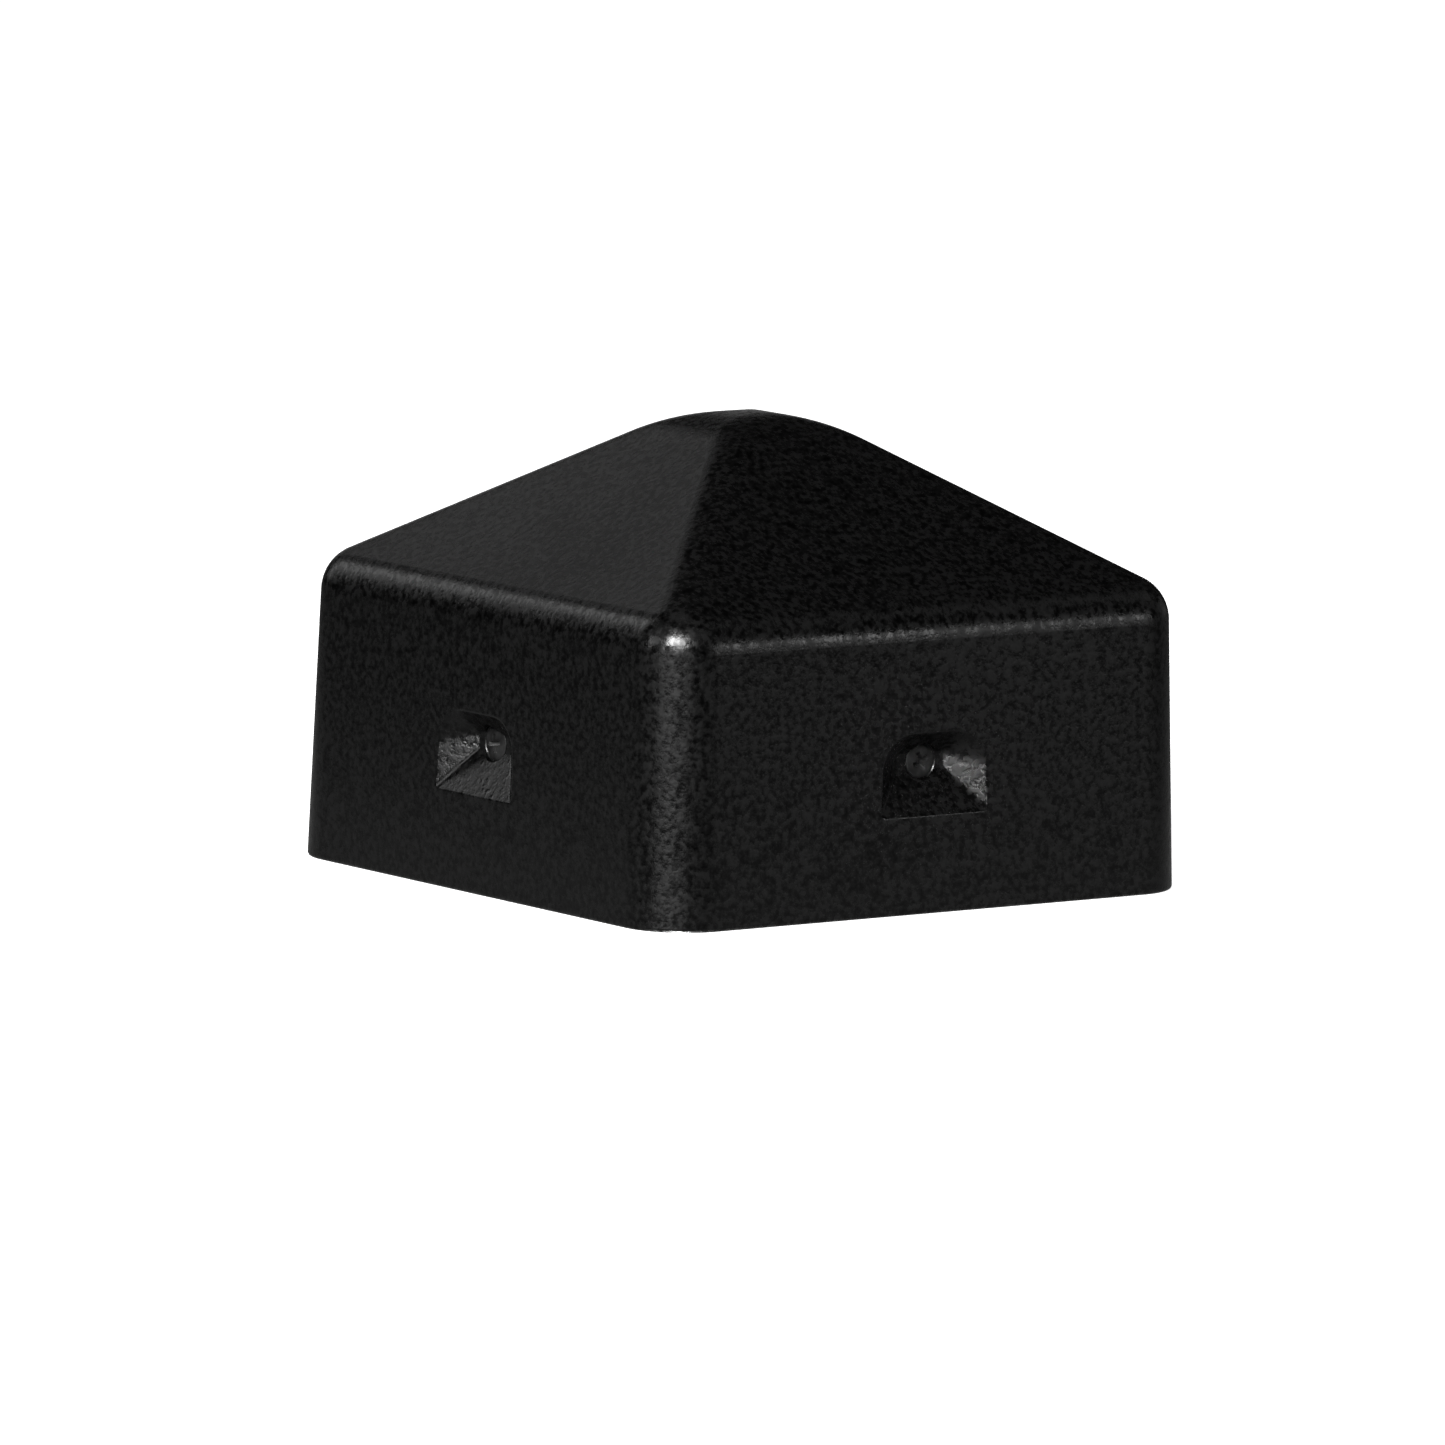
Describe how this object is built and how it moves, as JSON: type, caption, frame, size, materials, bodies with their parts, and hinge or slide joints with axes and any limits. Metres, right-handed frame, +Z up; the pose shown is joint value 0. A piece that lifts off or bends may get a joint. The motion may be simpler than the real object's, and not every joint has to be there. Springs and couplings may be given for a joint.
{
  "type": "fence post cap",
  "caption": "Hollow square cap with a rounded pyramid roof that slips over the end of a timber fence post; a small screw in a sunk pocket in each wall fixes it.",
  "frame": {"origin": "centre of the open lower rim, in the plane of the rim", "axes": "+Z up through the apex of the roof; -Y is the front wall, +X the right wall"},
  "size_m": [0.085, 0.085, 0.06],
  "materials": {
    "cap_plastic": "satin black with a fine moulded grain",
    "screw_steel": "black coated steel, slightly shiny"
  },
  "bodies": {
    "cap": {"cap_shell": "cap_plastic"},
    "screw_front": {"fixing_screw_front": "screw_steel"},
    "screw_right": {"fixing_screw_right": "screw_steel"},
    "screw_back": {"fixing_screw_back": "screw_steel"},
    "screw_left": {"fixing_screw_left": "screw_steel"}
  },
  "joints": [
    {"name": "screw_front_back_out", "type": "slide", "parent": "cap", "child": "screw_front", "axis": [0, -1, 0], "range_m": [0, 0.019]},
    {"name": "screw_right_back_out", "type": "slide", "parent": "cap", "child": "screw_right", "axis": [1, 0, 0], "range_m": [0, 0.019]},
    {"name": "screw_back_back_out", "type": "slide", "parent": "cap", "child": "screw_back", "axis": [0, 1, 0], "range_m": [0, 0.019]},
    {"name": "screw_left_back_out", "type": "slide", "parent": "cap", "child": "screw_left", "axis": [-1, 0, 0], "range_m": [0, 0.019]}
  ]
}
